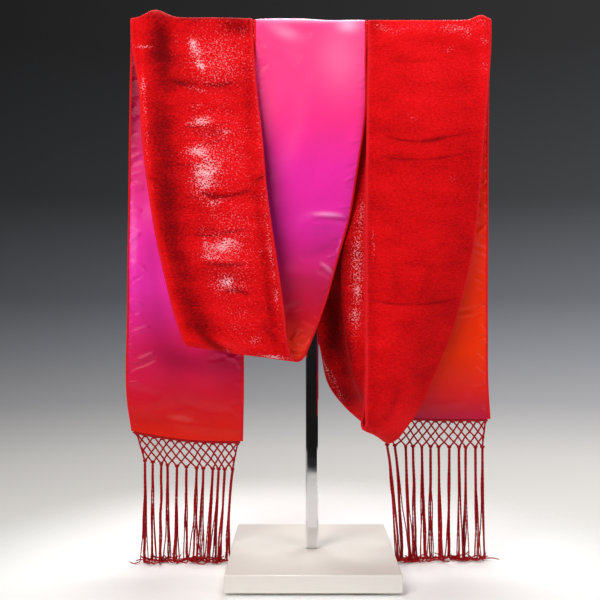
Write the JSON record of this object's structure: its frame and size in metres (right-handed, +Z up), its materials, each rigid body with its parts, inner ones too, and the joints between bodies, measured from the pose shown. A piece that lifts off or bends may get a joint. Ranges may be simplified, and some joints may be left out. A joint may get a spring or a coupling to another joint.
{
  "type": "fringed scarf on a T-bar display stand",
  "caption": "Long velvet scarf with a shaded satin lining and knotted fringed ends, hung in two swags over the cross-bar of a T-bar display stand that stands on its slab.",
  "frame": {"origin": "on the surface that the feet stand on, below the middle of the whole part's box", "axes": "+Z up, +X to the right as seen from the front, -Y towards the viewer"},
  "size_m": [0.3703, 0.16, 0.5511],
  "materials": {
    "velvet": "red pile velvet with a patchy sheen",
    "satin": "satin shaded from orange through crimson to magenta along its length",
    "fringe": "twisted dark red cord, knotted",
    "painted_base": "smooth white lacquer",
    "chrome": "polished",
    "foot": "matt cream"
  },
  "bodies": {
    "root": {"velvet_left_tail": "velvet", "satin_left_tail": "satin", "velvet_left_front": "velvet", "satin_left_front": "satin", "velvet_middle": "velvet", "satin_middle": "satin", "velvet_back": "velvet", "satin_back": "satin", "velvet_right_front": "velvet", "satin_right_front": "satin", "velvet_right_tail": "velvet", "satin_right_tail": "satin", "fringe_left": "fringe", "fringe_right": "fringe", "stand_base": "painted_base", "stand_post": "chrome", "stand_crossbar": "chrome", "stand_foot_front_left": "foot", "stand_foot_front_right": "foot", "stand_foot_rear_left": "foot", "stand_foot_rear_right": "foot"}
  },
  "joints": []
}
